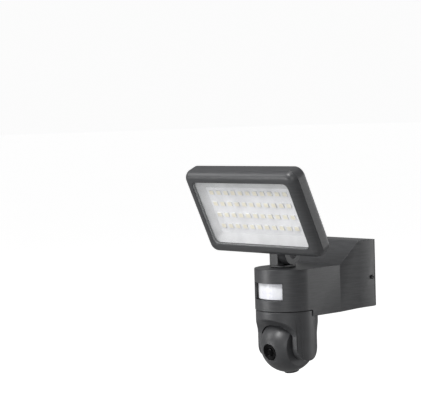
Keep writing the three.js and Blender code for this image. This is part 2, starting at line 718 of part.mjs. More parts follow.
function tiltDrive() {
  const gear = add('tilt_gear', cut(
    slab('x', gearOutline(TILT_GEAR_TEETH, TILT_MODULE), TILT_GEAR_X),
    bar('x', TILT_GEAR_SEAT + GAP, [0, 40], [0, 0]),
  ), NYLON_GEAR, camera);
  gear.rotation.x = THREE.MathUtils.degToRad(TILT_PINION_ANGLE);

  const pinion = add('tilt_pinion', cut(
    slab('x', gearOutline(TILT_PINION_TEETH, TILT_MODULE, 0.5), TILT_GEAR_X),
    bar('x', 1 + GAP, [TILT_GEAR_X[0] - 1, TILT_GEAR_X[1] - 1], [0, 0]),
  ), NYLON_GEAR, camera);
  pinion.position.set(0, PINION_Y, PINION_Z);
  pinion.rotation.x = THREE.MathUtils.degToRad(TILT_PINION_ANGLE + 180);

  const motor = join(
    bar('x', 7.5, [-4, 9.5], [PINION_Y, PINION_Z]),
    bar('x', 1, [9, TILT_GEAR_X[1] - 1.4], [PINION_Y, PINION_Z]),
    block([8, 9.5], [PINION_Y - 3, PINION_Y + 3], [PINION_Z - 10, PINION_Z + 9.5]),
  );
  add('tilt_motor', motor, STEEL, camera);
}

// ---------------------------------------------------------------- camera ball

// Sphere with flat sides; the lens looks along -y in the ball's own frame.
function flattenedBall(radius, flat, segments = 32) {
  const sphere = new THREE.SphereGeometry(radius, segments, 0.625 * segments);
  const ball = solid(sphere.rotateX(Math.PI / 2));
  return ball.intersect(block([-flat, flat], [-50, 50], [-50, 50]));
}

function ballShells() {
  const shell = cut(
    flattenedBall(BALL_RADIUS, BALL_FLAT_X),
    flattenedBall(BALL_RADIUS - BALL_WALL, BALL_FLAT_X - BALL_WALL, 24),
  );
  const front = cut(
    shell,
    block([-60, 60], [BALL_SPLIT_Y, 60], [-60, 60]),
    bar('y', LENS_RADIUS + GAP, [-50, -20], [0, 0]),
    bar('x', TRUNNION_RADIUS + GAP, [-50, 50], [0, 0]),
    bar('z', COVER_RADIUS + GAP, [-50, -20], [0, 0]),
  );
  const rear = cut(
    shell,
    block([-60, 60], [-60, BALL_SPLIT_Y + GAP], [-60, 60]),
  );
  add('ball_front', front, ANTHRACITE_PLASTIC, camera);
  add('ball_rear', rear, ANTHRACITE_PLASTIC, camera);
}

function lensUnit() {
  const face = -Math.sqrt(BALL_RADIUS ** 2 - LENS_RADIUS ** 2);
  add('lens_window', bar('y', LENS_RADIUS, [face, face + 1.6], [0, 0], 36), LENS_GLASS, camera);
  const barrel = new THREE.LatheGeometry([
    [0, 0], [3.2, 0], [6.8, 2.4], [7.6, 2.4], [7.6, 7], [6.2, 7], [6.2, 15.5], [0, 15.5],
  ].map(([radius, depth]) => new THREE.Vector2(radius, depth)), 20);
  barrel.translate(0, face + 1.9, 0);
  add('lens_barrel', solid(barrel), BLACK_PLASTIC, camera);
  const boardFront = face + 17.7;
  const board = join(
    block([-13, 13], [boardFront, boardFront + 1.5], [-13, 13]),
    block([-6, 6], [boardFront + 1.4, boardFront + 3], [-6, 6]),
  );
  add('camera_board', board, GREEN_BOARD, camera);
}

function cardReader() {
  add('card_board', block([-12, 9.8], [3.4, 4.9], [-25.5, -8]), GREEN_BOARD, camera);
  const socket = cut(
    block([-8, 3.5], [0.4, 3.1], [-24.5, -9]),
    block([-6.2, 1.7], [1.1, 2.4], [-30, -10.5]),
  );
  add('card_socket', socket, STEEL, camera);
  add('memory_card', block([-5.8, 1.3], [1.4, 2.1], [-26.4, -11]), BLACK_PLASTIC, camera);
  const body = block([4.1, 7.7], [0.2, 3.1], [-22.6, -18])
    .subtract(bar('z', 1, [-24, -19], [5.9, 1.65], 14));
  add('reset_switch', body, STEEL, camera);
  const button = join(
    bar('z', 1.3, [-26.3, -23.5], [5.9, 1.65], 14),
    bar('z', 0.6, [-23.6, -20.5], [5.9, 1.65], 12),
  );
  add('reset_button', button, BLACK_PLASTIC, camera);
}

// Round screw-in cover under the ball, over the card and the reset button.
function serviceCover() {
  const pole = -BALL_RADIUS;
  const disc = turned([
    [0, pole - 0.9], [COVER_RADIUS - 0.8, pole - 0.9], [COVER_RADIUS, pole - 0.2],
    [COVER_RADIUS, pole + 2.4], [COVER_RADIUS - 1, pole + 2.4], [COVER_RADIUS - 1, pole + 1.4],
    [0, pole + 1.4],
  ], 24);
  const coinSlot = block([-5, 5], [-0.8, 0.8], [pole - 5, pole + 0.2]);
  add('service_cover', disc.subtract(coinSlot), ANTHRACITE_PLASTIC, camera);
}

// ---------------------------------------------------------------- lamp bracket

function lampBracket() {
  const base = slab('z', roundedFootprint(), [BRACKET_BOTTOM, BRACKET_BOTTOM + 2.5]);
  const post = cut(
    join(
      bar('x', KNUCKLE_RADIUS, [POST_LEFT, POST_RIGHT], [AXIS_Y, PIVOT_Z], 24),
      block([POST_LEFT, POST_RIGHT], [AXIS_Y - KNUCKLE_RADIUS, AXIS_Y + KNUCKLE_RADIUS],
        [BRACKET_BOTTOM, PIVOT_Z]),
    ),
    bar('x', TILT_BOLT_RADIUS + GAP, THROUGH, [AXIS_Y, PIVOT_Z]),
    bar('x', 6.3, [-30, POST_LEFT + 4.6], [AXIS_Y, PIVOT_Z]),
    bar('x', TILT_WASHER_RADIUS + GAP, [POST_RIGHT - 1, 30], [AXIS_Y, PIVOT_Z]),
  );
  const studHole = bar('z', SWIVEL_RADIUS + GAP, [10, BRACKET_BOTTOM + 2.6], [0, AXIS_Y]);
  add('lamp_bracket', join(base, post).subtract(studHole), ANTHRACITE_PAINT);
}

function roundedFootprint() {
  const corner = 5;
  const [left, right] = [POST_LEFT, BASE_RIGHT];
  const half = KNUCKLE_RADIUS;
  const shape = new THREE.Shape();
  shape.moveTo(left, AXIS_Y - half);
  shape.absarc(right - corner, AXIS_Y - half + corner, corner, -Math.PI / 2, 0);
  shape.absarc(right - corner, AXIS_Y + half - corner, corner, 0, Math.PI / 2);
  shape.lineTo(left, AXIS_Y + half);
  shape.closePath();
  return shape;
}

function hexagon(radius, axis, span, centre) {
  return bar(axis, radius, span, centre, 6);
}

function swivelHardware() {
  const bore = bar('z', SWIVEL_RADIUS + GAP, [-5, 30], [0, AXIS_Y]);
  const seal = bar('z', 12, [ARM_TOP - 0.9, ARM_TOP + 0.1], [0, AXIS_Y]);
  add('swivel_seal', seal.subtract(bore), BLACK_RUBBER);
  const stud = bar('z', SWIVEL_RADIUS, [-1.5, BRACKET_BOTTOM + 2.3], [0, AXIS_Y]);
  add('swivel_stud', stud.subtract(bar('z', 4, [-5, 30], [0, AXIS_Y])), STEEL);
  const washer = bar('z', 11, [6.4, 7.7], [0, AXIS_Y]);
  add('swivel_washer', washer.subtract(bore), ZINC_STEEL);
  const nut = hexagon(10.4, 'z', [0.4, 6.1], [0, AXIS_Y]);
  add('swivel_nut', nut.subtract(bore), ZINC_STEEL);
}

function tiltHardware() {
  const bolt = cut(
    join(
      bar('x', 5.8, [POST_LEFT + 0.3, POST_LEFT + 4.3], [AXIS_Y, PIVOT_Z]),
      bar('x', TILT_BOLT_RADIUS, [POST_LEFT + 4, LUG_RIGHT - 0.8], [AXIS_Y, PIVOT_Z]),
    ),
    hexagon(2.9, 'x', [POST_LEFT - 2, POST_LEFT + 2.8], [AXIS_Y, PIVOT_Z]),
  );
  add('tilt_bolt', bolt, STEEL);
  const washer = bar('x', TILT_WASHER_RADIUS, [POST_RIGHT - 0.7, LUG_LEFT - GAP], [AXIS_Y, PIVOT_Z]);
  const washerBore = bar('x', TILT_BOLT_RADIUS + GAP, THROUGH, [AXIS_Y, PIVOT_Z]);
  add('tilt_washer', washer.subtract(washerBore), ZINC_STEEL);
  const pivot = pivotInLamp();
  const place = [pivot.y, pivot.z];
  const nut = hexagon(TILT_NUT_RADIUS, 'x', [LUG_RIGHT - TILT_NUT_DEPTH, LUG_RIGHT - 0.6], place);
  const nutBore = bar('x', TILT_BOLT_RADIUS + GAP, THROUGH, place);
  add('tilt_nut', nut.subtract(nutBore), ZINC_STEEL, lamp);
}

// ---------------------------------------------------------------- lamp head

// The lamp's tilt axis in the lamp's own frame.
function pivotInLamp() {
  const point = new THREE.Vector3(0, AXIS_Y, PIVOT_Z);
  lamp.updateMatrixWorld();
  return lamp.worldToLocal(point);
}

function cornerPlaces() {
  const places = [];
  for (const x of [-SCREW_X, SCREW_X]) {
    for (const z of [-SCREW_Z, SCREW_Z]) places.push([x, z]);
  }
  return places;
}

function lampLug() {
  const pivot = pivotInLamp();
  const root = LAMP_BACK - LAMP_BACK_WALL + WELD;
  const [rootBottom, rootTop] = LUG_ROOT_Z;
  const corners = [];
  for (const x of [LUG_LEFT, LUG_RIGHT]) {
    for (let step = 0; step < 24; step++) {
      const angle = step / 24 * 2 * Math.PI;
      corners.push([
        x,
        pivot.y + KNUCKLE_RADIUS * Math.cos(angle),
        pivot.z + KNUCKLE_RADIUS * Math.sin(angle),
      ]);
    }
    corners.push([x, root, rootBottom], [x, root, rootTop], [x, LAMP_BACK + 1, rootTop]);
  }
  return cut(
    hull(corners),
    bar('x', TILT_BOLT_RADIUS + GAP, THROUGH, [pivot.y, pivot.z]),
    hexagon(TILT_NUT_RADIUS + GAP, 'x', [LUG_RIGHT - TILT_NUT_DEPTH - GAP, 30], [pivot.y, pivot.z]),
  );
}

function lampHousing() {
  const rim = BEZEL_BACK + GAP;
  const back = LAMP_BACK;
  const rearEdge = arcSteps(LAMP_BACK_ROUND, 90, 3).map(([inset, depth]) => [inset, back - depth]);
  const outside = softPlate(LAMP_HALF_WIDTH, LAMP_HALF_HEIGHT, LAMP_CORNER, [[0, rim], ...rearEdge]);
  const hollow = plate(LAMP_HALF_WIDTH - LAMP_SKIN, LAMP_HALF_HEIGHT - LAMP_SKIN,
    LAMP_CORNER - LAMP_SKIN, [rim - 1, back - LAMP_BACK_WALL]);
  let shape = outside.subtract(hollow);
  const fins = [];
  const lugMiddle = (LUG_LEFT + LUG_RIGHT) / 2;
  for (let x = -FIN_LAST_X; x <= FIN_LAST_X; x += FIN_PITCH) {
    if (Math.abs(x - lugMiddle) < FIN_PITCH) continue;    // the lug stands here
    fins.push(block([x - FIN_HALF, x + FIN_HALF], [back - 1, FIN_BACK],
      [-FIN_HALF_LENGTH, FIN_HALF_LENGTH]));
  }
  shape = join(shape, lampLug(), ...fins);
  const inWall = back - LAMP_BACK_WALL + WELD;
  for (const [x, z] of cornerPlaces()) {
    shape = cut(
      shape.add(bar('y', BOSS_RADIUS, [rim, inWall], [x, z])),
      bar('y', SCREW_RADIUS + GAP, [0, 40], [x, z]),
      bar('y', SCREW_HEAD_RADIUS + GAP, [SCREW_HEAD_Y, 40], [x, z]),
    );
  }
  // Two posts press the heat spreader against the LED board.
  for (const x of [-POST_X, POST_X]) {
    shape = shape.add(bar('y', POST_RADIUS, [LED_FLOOR + SPREADER_BACK + GAP, inWall], [x, 0]));
  }
  add('lamp_housing', shape, ANTHRACITE_PAINT, lamp);
}

function lampBezel() {
  const opening = plate(WINDOW_HALF_WIDTH, WINDOW_HALF_HEIGHT, WINDOW_CORNER, [-10, 20]);
  const turn = THREE.MathUtils.radToDeg(Math.acos(1 - BEZEL_BACK / BEZEL_ROUND));
  const body = softPlate(LAMP_HALF_WIDTH, LAMP_HALF_HEIGHT, LAMP_CORNER,
    arcSteps(BEZEL_ROUND, turn, 4));
  let bezel = cut(
    body,
    opening,
    plate(WINDOW_HALF_WIDTH + GLASS_LIP + GAP, WINDOW_HALF_HEIGHT + GLASS_LIP + GAP,
      GLASS_CORNER + GAP, [GLASS_FRONT - GAP, 20]),
  );
  for (const [x, z] of cornerPlaces()) {
    bezel = bezel.subtract(bar('y', SCREW_RADIUS + GAP, [4, 20], [x, z]));
  }
  add('lamp_bezel', bezel, ANTHRACITE_PAINT, lamp);
}

function ring(halfWidth, halfHeight, corner, border, depth) {
  return plate(halfWidth, halfHeight, corner, depth)
    .subtract(plate(halfWidth - border, halfHeight - border, Math.max(1, corner - border), [-50, 50]));
}

function lampWindow() {
  const glassBack = GLASS_FRONT + GLASS_THICK;
  const [halfWidth, halfHeight] = [WINDOW_HALF_WIDTH + GLASS_LIP, WINDOW_HALF_HEIGHT + GLASS_LIP];
  const glass = plate(halfWidth, halfHeight, GLASS_CORNER, [GLASS_FRONT, glassBack]);
  add('front_glass', glass, CLEAR_GLASS, lamp);
  const gasket = ring(halfWidth, halfHeight, GLASS_CORNER, 2.6, [glassBack + GAP, glassBack + 1.5]);
  add('glass_gasket', gasket, BLACK_RUBBER, lamp);
  const trayFront = glassBack + 1.8;
  const wallLean = 11;
  const mouth = { x: WINDOW_HALF_WIDTH - 0.5, z: WINDOW_HALF_HEIGHT - 0.5 };
  const floor = { x: WINDOW_HALF_WIDTH - wallLean, z: WINDOW_HALF_HEIGHT - wallLean };
  const funnel = shoulder(
    { y: trayFront - 1, x: mouth.x, z: [-mouth.z, mouth.z] },
    { y: LED_FLOOR + 0.1, x: floor.x, z: [-floor.z, floor.z] },
  );
  const tray = plate(halfWidth, halfHeight, GLASS_CORNER, [trayFront, LED_FLOOR - GAP]);
  add('reflector_tray', tray.subtract(funnel), WHITE_REFLECTOR, lamp);
}

function ledBoard() {
  const boardBack = LED_FLOOR + BOARD_THICK;
  const pieces = [block([-BOARD_HALF_WIDTH, BOARD_HALF_WIDTH], [LED_FLOOR, boardBack],
    [-BOARD_HALF_HEIGHT, BOARD_HALF_HEIGHT])];
  for (let row = 0; row < LED_ROWS; row++) {
    for (let column = 0; column < LED_COLUMNS; column++) {
      const x = (column - (LED_COLUMNS - 1) / 2) * LED_PITCH_X;
      const z = LED_CENTRE_Z + (row - (LED_ROWS - 1) / 2) * LED_PITCH_Z;
      pieces.push(block([x - LED_HALF_WIDTH, x + LED_HALF_WIDTH],
        [LED_FLOOR - LED_RISE, LED_FLOOR + SOLDER], [z - LED_HALF_HEIGHT, z + LED_HALF_HEIGHT]));
    }
  }
  add('led_board', join(...pieces), WHITE_BOARD, lamp);
  const [width, height] = [BOARD_HALF_WIDTH + 1, BOARD_HALF_HEIGHT + 1];
  const spreader = block([-width, width], [boardBack + GAP, LED_FLOOR + SPREADER_BACK],
    [-height, height]);
  add('heat_spreader', spreader, BARE_ALUMINIUM, lamp);
}

function bezelScrews() {
  const headTop = SCREW_HEAD_Y + 2.2;
  const recess = [headTop - 1, headTop + 1];
  const [long, short] = [2, 0.35];
  cornerPlaces().forEach(([x, z], number) => {
    const screw = cut(
      join(
        bar('y', SCREW_RADIUS, [4.6, SCREW_HEAD_Y + 0.5], [x, z]),
        bar('y', SCREW_HEAD_RADIUS, [SCREW_HEAD_Y + GAP, headTop], [x, z]),
      ),
      block([x - long, x + long], recess, [z - short, z + short]),
      block([x - short, x + short], recess, [z - long, z + long]),
    );
    add(`bezel_screw_${number + 1}`, screw, STEEL, lamp);
  });
}

// ---------------------------------------------------------------- the whole object

wallPlate();
wallGasket();
cableGrommet();
terminalBlock();
driverBoard();
sideScrews();
housingShell();
mainBoard();
speaker();
antenna();
motionSensor();
panDrive();
cameraFork();
cheekCovers();
trunnions();
tiltDrive();
ballShells();
lensUnit();
cardReader();
serviceCover();
lampBracket();
swivelHardware();
tiltHardware();
lampHousing();
lampBezel();
lampWindow();
ledBoard();
bezelScrews();

export default whole;
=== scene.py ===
"""Looks of a wall floodlight with a pan and tilt camera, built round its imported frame.

Shapes are made in millimetres in the frame of the part they belong to, then placed in the
row frame in metres. +Z is up, -Y points out from the wall and +X is to the viewer's right.
"""

import json
import math

import bmesh
import bpy
from mathutils import Matrix, Vector


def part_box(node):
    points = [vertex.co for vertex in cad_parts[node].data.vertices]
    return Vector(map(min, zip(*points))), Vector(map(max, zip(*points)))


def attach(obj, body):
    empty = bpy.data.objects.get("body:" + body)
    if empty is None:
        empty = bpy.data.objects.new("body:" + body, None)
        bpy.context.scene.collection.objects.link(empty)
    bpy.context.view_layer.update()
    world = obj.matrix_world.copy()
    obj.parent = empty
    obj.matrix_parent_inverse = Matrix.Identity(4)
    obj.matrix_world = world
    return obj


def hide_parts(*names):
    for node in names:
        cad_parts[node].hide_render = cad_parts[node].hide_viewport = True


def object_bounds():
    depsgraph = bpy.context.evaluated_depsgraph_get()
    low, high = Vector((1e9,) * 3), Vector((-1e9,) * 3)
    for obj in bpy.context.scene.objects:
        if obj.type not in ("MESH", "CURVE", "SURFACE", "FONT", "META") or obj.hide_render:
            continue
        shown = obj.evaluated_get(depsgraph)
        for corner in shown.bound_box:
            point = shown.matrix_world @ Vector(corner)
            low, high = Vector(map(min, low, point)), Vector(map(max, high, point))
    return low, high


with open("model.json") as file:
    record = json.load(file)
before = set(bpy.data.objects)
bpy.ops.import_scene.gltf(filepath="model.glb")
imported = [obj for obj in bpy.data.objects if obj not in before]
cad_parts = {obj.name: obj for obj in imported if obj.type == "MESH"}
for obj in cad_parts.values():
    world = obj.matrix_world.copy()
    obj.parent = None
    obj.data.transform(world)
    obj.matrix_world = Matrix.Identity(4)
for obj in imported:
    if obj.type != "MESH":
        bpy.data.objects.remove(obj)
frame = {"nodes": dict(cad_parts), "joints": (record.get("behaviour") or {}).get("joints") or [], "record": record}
cad_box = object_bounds()

# ---------------------------------------------------------------- sizes, in millimetres

MM = 0.001
JOINTS = {joint["name"]: joint for joint in frame["joints"]}


def joint_place(name):
    """Where a joint sits, in millimetres."""
    return Vector(JOINTS[name]["pos_m"]) / MM


def span(node):
    """Lowest and highest corner of a CAD node, in millimetres."""
    low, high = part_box(node)
    return low / MM, high / MM


SHELL_LOW, SHELL_HIGH = span("housing_shell")
AXIS_Y = joint_place("camera_pan").y
BODY_RADIUS = AXIS_Y - SHELL_LOW.y
SEAM_Z = joint_place("camera_pan").z
ARM_TOP = joint_place("head_swivel").z
ARM_BOTTOM = span("speaker")[0].z - 2.8
BOX_HALF_WIDTH = SHELL_HIGH.x
BOX_HALF_HEIGHT = SHELL_HIGH.z
BOX_BACK = SHELL_HIGH.y
BOX_FRONT = -29.0
ARM_START = -54.7
WALL = 2.5
SWEEP_RADIUS = BODY_RADIUS + 0.5

FORK_LOW, FORK_HIGH = span("camera_fork")
FORK_RADIUS = BODY_RADIUS - 0.5
FORK_TOP = SEAM_Z - 0.6
FORK_CEILING = -45.3
ROOM_RADIUS = 33.3
CHEEK_X = span("cheek_cover_right")[0].x
CHEEK_HALF_WIDTH = 17.2
CHEEK_END = 15.8
NECK_RADIUS = 17.0
NECK_BORE = 9.0

BALL_Z = joint_place("camera_tilt").z
BALL_RADIUS = 32.2
BALL_FLAT_X = span("ball_front")[1].x
BALL_WALL = 2.2
BALL_SPLIT = 11.0
LENS_RADIUS = 9.7
COVER_RADIUS = 9.0
TRUNNION_HOLE = 5.3

LENS_LOW, LENS_HIGH = span("pir_lens")
PIR_RADIUS = AXIS_Y - LENS_LOW.y
PIR_HALF_ANGLE = math.radians(37.4)

PIVOT_Z = joint_place("head_tilt").z
BRACKET_LOW, BRACKET_HIGH = span("lamp_bracket")
KNUCKLE_RADIUS = 12.6
LUG_X = (0.25, 12.6)

LAMP_HALF_WIDTH = span("lamp_bezel")[1].x
LAMP_HALF_HEIGHT = 54.2
LAMP_CORNER = 11.5
LAMP_BACK = 22.8
LAMP_BACK_ROUND = 4.6
LAMP_TILT = 24.9
FIN_BACK = 25.3
WINDOW_HALF_WIDTH = 79.0
WINDOW_HALF_HEIGHT = 41.1
WINDOW_CORNER = 7.0
BEZEL_BACK = 8.1
BEZEL_ROUND = 9.5
GLASS_FRONT = 0.6
GLASS_BACK = 3.1
GLASS_LIP = 3.0
GLASS_CORNER = 8.7
LED_FLOOR = 10.0
LED_COLUMNS, LED_ROWS = 11, 4
LED_PITCH_X, LED_PITCH_Z = 12.1, 14.7
LED_CENTRE_Z = 1.5
SCREW_X, SCREW_Z = 84.0, 46.8
SCREW_SEAT = 19.6

# ---------------------------------------------------------------- places

ROW = Matrix.Identity(4)
BALL_AXIS = Vector(JOINTS["cover_turn"]["axis"])
BALL_TILT = math.atan2(-BALL_AXIS.y, BALL_AXIS.z)
BALL_PLACE = Matrix.Translation((0, AXIS_Y, BALL_Z)) @ Matrix.Rotation(BALL_TILT, 4, "X")

LAMP_TURN = Matrix.Rotation(math.radians(LAMP_TILT), 4, "X")
GLASS_LOW, GLASS_HIGH = span("front_glass")
GLASS_CENTRE = (GLASS_LOW + GLASS_HIGH) / 2
LAMP_ORIGIN = GLASS_CENTRE - LAMP_TURN @ Vector((0, (GLASS_FRONT + GLASS_BACK) / 2, 0))
LAMP_PLACE = Matrix.Translation(LAMP_ORIGIN) @ LAMP_TURN
PIVOT_IN_LAMP = LAMP_PLACE.inverted() @ Vector((0, AXIS_Y, PIVOT_Z))

# ---------------------------------------------------------------- solids, in millimetres

PLANE = {"x": (1, 2), "y": (0, 2), "z": (0, 1)}
DEPTH = {"x": 0, "y": 1, "z": 2}
FINE = 96


def point(axis, u, v, depth):
    """A point from two coordinates across an axis and one along it."""
    place = [0.0, 0.0, 0.0]
    place[PLANE[axis][0]] = u
    place[PLANE[axis][1]] = v
    place[DEPTH[axis]] = depth
    return Vector(place)


def made(mesh_data, name="solid"):
    """The bmesh as an object, with its faces turned outwards."""
    bmesh.ops.recalc_face_normals(mesh_data, faces=mesh_data.faces)
    mesh = bpy.data.meshes.new(name)
    mesh_data.to_mesh(mesh)
    mesh_data.free()
    piece = bpy.data.objects.new(name, mesh)
    bpy.context.scene.collection.objects.link(piece)
    return piece


def bridge(solid, first, second):
    """Quads between two rings of as many points; a ring of one point closes to a fan."""
    count = max(len(first), len(second))
    for i in range(count):
        j = (i + 1) % count
        corners = [first[i % len(first)], first[j % len(first)]]
        corners += [second[j % len(second)], second[i % len(second)]]
        face = list(dict.fromkeys(corners))
        if len(face) > 2:
            solid.faces.new(face)


def loft(loops, closed=False):
    """A skin over loops of points, capped at both ends unless it closes on itself."""
    solid = bmesh.new()
    rings = [[solid.verts.new(p) for p in loop] for loop in loops]
    for first, second in zip(rings, rings[1:]):
        bridge(solid, first, second)
    if closed:
        bridge(solid, rings[-1], rings[0])
    else:
        for ring in (rings[0], rings[-1]):
            if len(ring) > 2:
                solid.faces.new(ring)
    return made(solid)


def prism(axis, outline, depth):
    return loft([[point(axis, u, v, end) for u, v in outline] for end in depth])


def block(x, y, z):
    return prism("z", [(x[0], y[0]), (x[1], y[0]), (x[1], y[1]), (x[0], y[1])], z)


def circle(radius, centre=(0, 0), steps=FINE, start=0.0, turn=math.tau):
    """Points round a circle, or along an arc when turn is less than a whole one."""
    whole = abs(turn - math.tau) < 1e-9
    count = steps if whole else steps + 1
    angles = [start + turn * i / steps for i in range(count)]
    return [(centre[0] + radius * math.cos(a), centre[1] + radius * math.sin(a)) for a in angles]


def bar(axis, radius, depth, centre=(0, 0), steps=64):
    return prism(axis, circle(radius, centre, steps), depth)


def turned(axis, profile, centre=(0, 0), steps=FINE, closed=False):
    """A body of revolution from (radius, height) points."""
    loops = []
    for radius, height in profile:
        ring = circle(radius, centre, steps) if radius > 1e-6 else [centre]
        loops.append([point(axis, u, v, height) for u, v in ring])
    return loft(loops, closed)


def hull(points):
    solid = bmesh.new()
    for p in points:
        solid.verts.new(p)
    result = bmesh.ops.convex_hull(solid, input=solid.verts)
    loose = [e for e in result["geom_interior"] + result["geom_unused"] if isinstance(e, bmesh.types.BMVert)]
    bmesh.ops.delete(solid, geom=list(set(loose)), context="VERTS")
    bmesh.ops.dissolve_limit(solid, angle_limit=math.radians(0.5), verts=solid.verts, edges=solid.edges)
    return made(solid)


def arc(radius, centre, start, end, steps=6):
    """Points on an arc in a profile, angles in degrees."""
    return circle(radius, centre, steps, math.radians(start), math.radians(end - start))


def rounded_loop(half_width, half_height, corner, y, steps=14):
    """A rounded rectangle across y."""
    loop = []
    for quarter, (side, up) in enumerate(((1, 1), (-1, 1), (-1, -1), (1, -1))):
        centre = (side * (half_width - corner), up * (half_height - corner))
        for u, v in circle(corner, centre, steps, quarter * math.pi / 2, math.pi / 2):
            loop.append((u, y, v))
    return loop


def combine(target, tool, operation):
    """Joins the tool to the target, or cuts it out of it, and removes the tool."""
    step = target.modifiers.new(operation, "BOOLEAN")
    step.operation = operation
    step.solver = "EXACT"
    step.object = tool
    graph = bpy.context.evaluated_depsgraph_get()
    result = bpy.data.meshes.new_from_object(target.evaluated_get(graph))
    target.modifiers.clear()
    before = target.data
    target.data = result
    bpy.data.meshes.remove(before)
    bpy.data.objects.remove(tool)
    return target


def join(target, *tools):
    for tool in tools:
        combine(target, tool, "UNION")
    return target


def cut(target, *tools):
    for tool in tools:
        combine(target, tool, "DIFFERENCE")
    return target


def common(target, tool):
    return combine(target, tool, "INTERSECT")


# ---------------------------------------------------------------- finishing a piece


def round_edges(piece, width, segments=3, angle=30):
    """Rounds every edge sharper than angle and keeps the flat faces flat in shading."""
    if width:
        edge = piece.modifiers.new("edge_radius", "BEVEL")
        edge.width = width * MM
        edge.segments = segments
        edge.limit_method = "ANGLE"
        edge.angle_limit = math.radians(angle)
        edge.use_clamp_overlap = False
        edge.miter_outer = "MITER_ARC"
    normals = piece.modifiers.new("flat_faces", "WEIGHTED_NORMAL")
    normals.keep_sharp = True


def crease(piece, least, most):
    """Keeps the edges that turn between two angles, in degrees, crisp."""
    solid = bmesh.new()
    solid.from_mesh(piece.data)
    for edge in solid.edges:
        if len(edge.link_faces) == 2:
            edge.smooth = not least < math.degrees(edge.calc_face_angle()) < most
    solid.to_mesh(piece.data)
    solid.free()


def finish(piece, name, body, slot, place=ROW, stands_for=(), edge=0.5, segments=3, look=None):
    """Places a solid in the row frame, dresses it and hangs it on its body."""
    piece.name = name
    piece.data.name = name
    solid = bmesh.new()
    solid.from_mesh(piece.data)
    bmesh.ops.remove_doubles(solid, verts=solid.verts, dist=1e-4)
    solid.to_mesh(piece.data)
    solid.free()
    piece.data.transform(Matrix.Scale(MM, 4) @ place)
    for face in piece.data.polygons:
        face.use_smooth = True
    round_edges(piece, edge, segments)
    piece.data.materials.clear()
    piece.data.materials.append(look or MATERIALS[slot])
    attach(piece, body)
    if stands_for:
        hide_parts(*stands_for)
    return piece


# ---------------------------------------------------------------- materials


class Surface:
    """A Principled material with helpers for its procedural detail."""

    def __init__(self, name, colour, roughness, metallic=0.0, **sockets):
        self.material = bpy.data.materials.new("look_" + name)
        self.material.use_nodes = True
        self.nodes = self.material.node_tree.nodes
        self.links = self.material.node_tree.links
        self.shader = self.nodes["Principled BSDF"]
        self.colour = colour
        self.shader.inputs["Base Color"].default_value = (*colour, 1)
        self.shader.inputs["Roughness"].default_value = roughness
        self.shader.inputs["Metallic"].default_value = metallic
        for socket, value in sockets.items():
            self.shader.inputs[socket.replace("_", " ")].default_value = value
        self.place = self.nodes.new("ShaderNodeTexCoord").outputs["Object"]

    def noise(self, scale, detail=2.0, stretch=None):
        """Noise in object space; scale is in features per metre."""
        texture = self.nodes.new("ShaderNodeTexNoise")
        texture.inputs["Scale"].default_value = scale
        texture.inputs["Detail"].default_value = detail
        source = self.place
        if stretch:
            mapping = self.nodes.new("ShaderNodeMapping")
            mapping.inputs["Scale"].default_value = stretch
            self.links.new(self.place, mapping.inputs["Vector"])
            source = mapping.outputs["Vector"]
        self.links.new(source, texture.inputs["Vector"])
        return texture.outputs["Fac"]

    def cells(self, scale):
        texture = self.nodes.new("ShaderNodeTexVoronoi")
        texture.inputs["Scale"].default_value = scale
        self.links.new(self.place, texture.inputs["Vector"])
        return texture.outputs["Distance"]

    def shade(self, pattern, darker, lighter, low=0.35, high=0.65):
        """Colour that wanders between two multiples of the base colour."""
        ramp = self.nodes.new("ShaderNodeValToRGB")
        ramp.color_ramp.elements[0].position = low
        ramp.color_ramp.elements[1].position = high
        ramp.color_ramp.elements[0].color = (*(c * darker for c in self.colour), 1)
        ramp.color_ramp.elements[1].color = (*(min(1, c * lighter) for c in self.colour), 1)
        self.links.new(pattern, ramp.inputs["Fac"])
        self.links.new(ramp.outputs["Color"], self.shader.inputs["Base Color"])

    def gloss(self, pattern, smoothest, roughest):
        spread = self.nodes.new("ShaderNodeMapRange")
        spread.inputs["From Min"].default_value = 0.3
        spread.inputs["From Max"].default_value = 0.7
        spread.inputs["To Min"].default_value = smoothest
        spread.inputs["To Max"].default_value = roughest
        self.links.new(pattern, spread.inputs["Value"])
        self.links.new(spread.outputs["Result"], self.shader.inputs["Roughness"])

    def bump(self, pattern, height, strength):
        """Fine relief; height is in millimetres."""
        relief = self.nodes.new("ShaderNodeBump")
        relief.inputs["Distance"].default_value = height * MM
        relief.inputs["Strength"].default_value = strength
        self.links.new(pattern, relief.inputs["Height"])
        self.links.new(relief.outputs["Normal"], self.shader.inputs["Normal"])


def textured(name, colour, roughness, grain, height, spread=0.05, mottle=60, **more):
    """A surface with a fine grain, a slow drift in colour and a little change in gloss."""
    surface = Surface(name, colour, roughness, **more)
    surface.shade(surface.noise(mottle, 3), 0.93, 1.07)
    surface.gloss(surface.noise(grain / 4, 3), roughness - spread, roughness + spread)
    surface.bump(surface.noise(grain, 3), height, 0.5)
    return surface.material


def brushed(name, colour, roughness):
    """Metal with fine lines across x."""
    surface = Surface(name, colour, roughness, 1.0)
    lines = surface.noise(300, 4, stretch=(12, 1, 1))
    surface.shade(lines, 0.88, 1.08)
    surface.gloss(lines, roughness - 0.08, roughness + 0.1)
    surface.bump(lines, 0.03, 0.3)
    return surface.material


def galvanised(name, colour, roughness):
    surface = Surface(name, colour, roughness, 1.0)
    spangle = surface.cells(320)
    surface.shade(spangle, 0.93, 1.03, 0.1, 0.7)
    surface.gloss(spangle, roughness - 0.02, roughness + 0.04)
    surface.bump(surface.noise(900, 3), 0.02, 0.3)
    return surface.material


